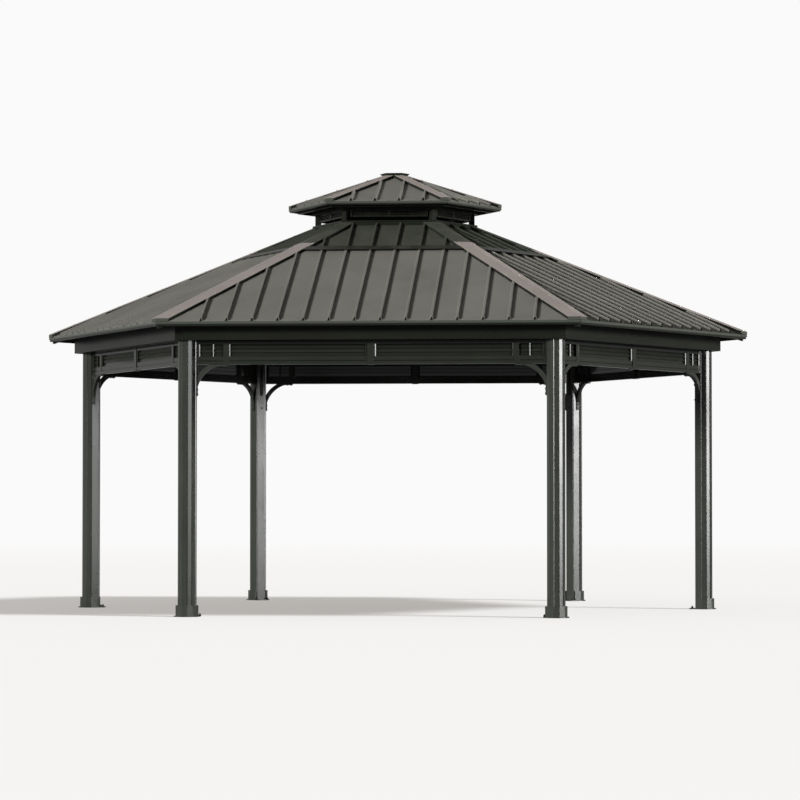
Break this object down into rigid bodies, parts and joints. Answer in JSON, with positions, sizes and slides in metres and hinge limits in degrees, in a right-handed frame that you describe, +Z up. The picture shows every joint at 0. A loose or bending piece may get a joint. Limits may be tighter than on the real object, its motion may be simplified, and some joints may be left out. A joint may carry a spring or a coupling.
{
  "type": "metal gazebo",
  "caption": "Hexagonal metal gazebo with fluted corner posts, panelled friezes, curved corner braces and a ribbed hip roof topped by a louvred cupola with its own small roof.",
  "frame": {"origin": "centre of the post circle on the floor", "axes": "+Z up; +X to the right-hand corner post; the long front side faces -Y"},
  "size_m": [5.822, 4.8392, 3.6056],
  "materials": {
    "post_paint": "satin powder coat",
    "frame_paint": "satin powder coat",
    "roof_paint": "satin painted sheet",
    "trim_paint": "satin painted sheet"
  },
  "bodies": {
    "root": {"braces_back_left": "frame_paint", "braces_back_right": "frame_paint", "braces_front_left": "frame_paint", "braces_front_right": "frame_paint", "braces_left": "frame_paint", "braces_right": "frame_paint", "crown_hub": "frame_paint", "cupola_curb": "frame_paint", "cupola_louvres": "frame_paint", "cupola_posts": "frame_paint", "cupola_ring": "frame_paint", "eave_trim": "frame_paint", "fascia_boards": "frame_paint", "frieze_back": "frame_paint", "frieze_front": "frame_paint", "frieze_left_back": "frame_paint", "frieze_left_front": "frame_paint", "frieze_right_back": "frame_paint", "frieze_right_front": "frame_paint", "header_beams": "frame_paint", "hip_caps": "trim_paint", "hip_rafters": "frame_paint", "post_back_left": "post_paint", "post_back_right": "post_paint", "post_bases": "post_paint", "post_front_left": "post_paint", "post_front_right": "post_paint", "post_left": "post_paint", "post_right": "post_paint", "purlins": "frame_paint", "rafter_seats": "frame_paint", "roof_flashing": "frame_paint", "roof_sheets_back": "roof_paint", "roof_sheets_front": "roof_paint", "roof_sheets_left_back": "roof_paint", "roof_sheets_left_front": "roof_paint", "roof_sheets_right_back": "roof_paint", "roof_sheets_right_front": "roof_paint", "top_cap": "frame_paint", "upper_eave_trim": "frame_paint", "upper_fascia": "frame_paint", "upper_hip_caps": "trim_paint", "upper_rafters": "frame_paint", "upper_roof_sheets": "roof_paint"}
  },
  "joints": []
}
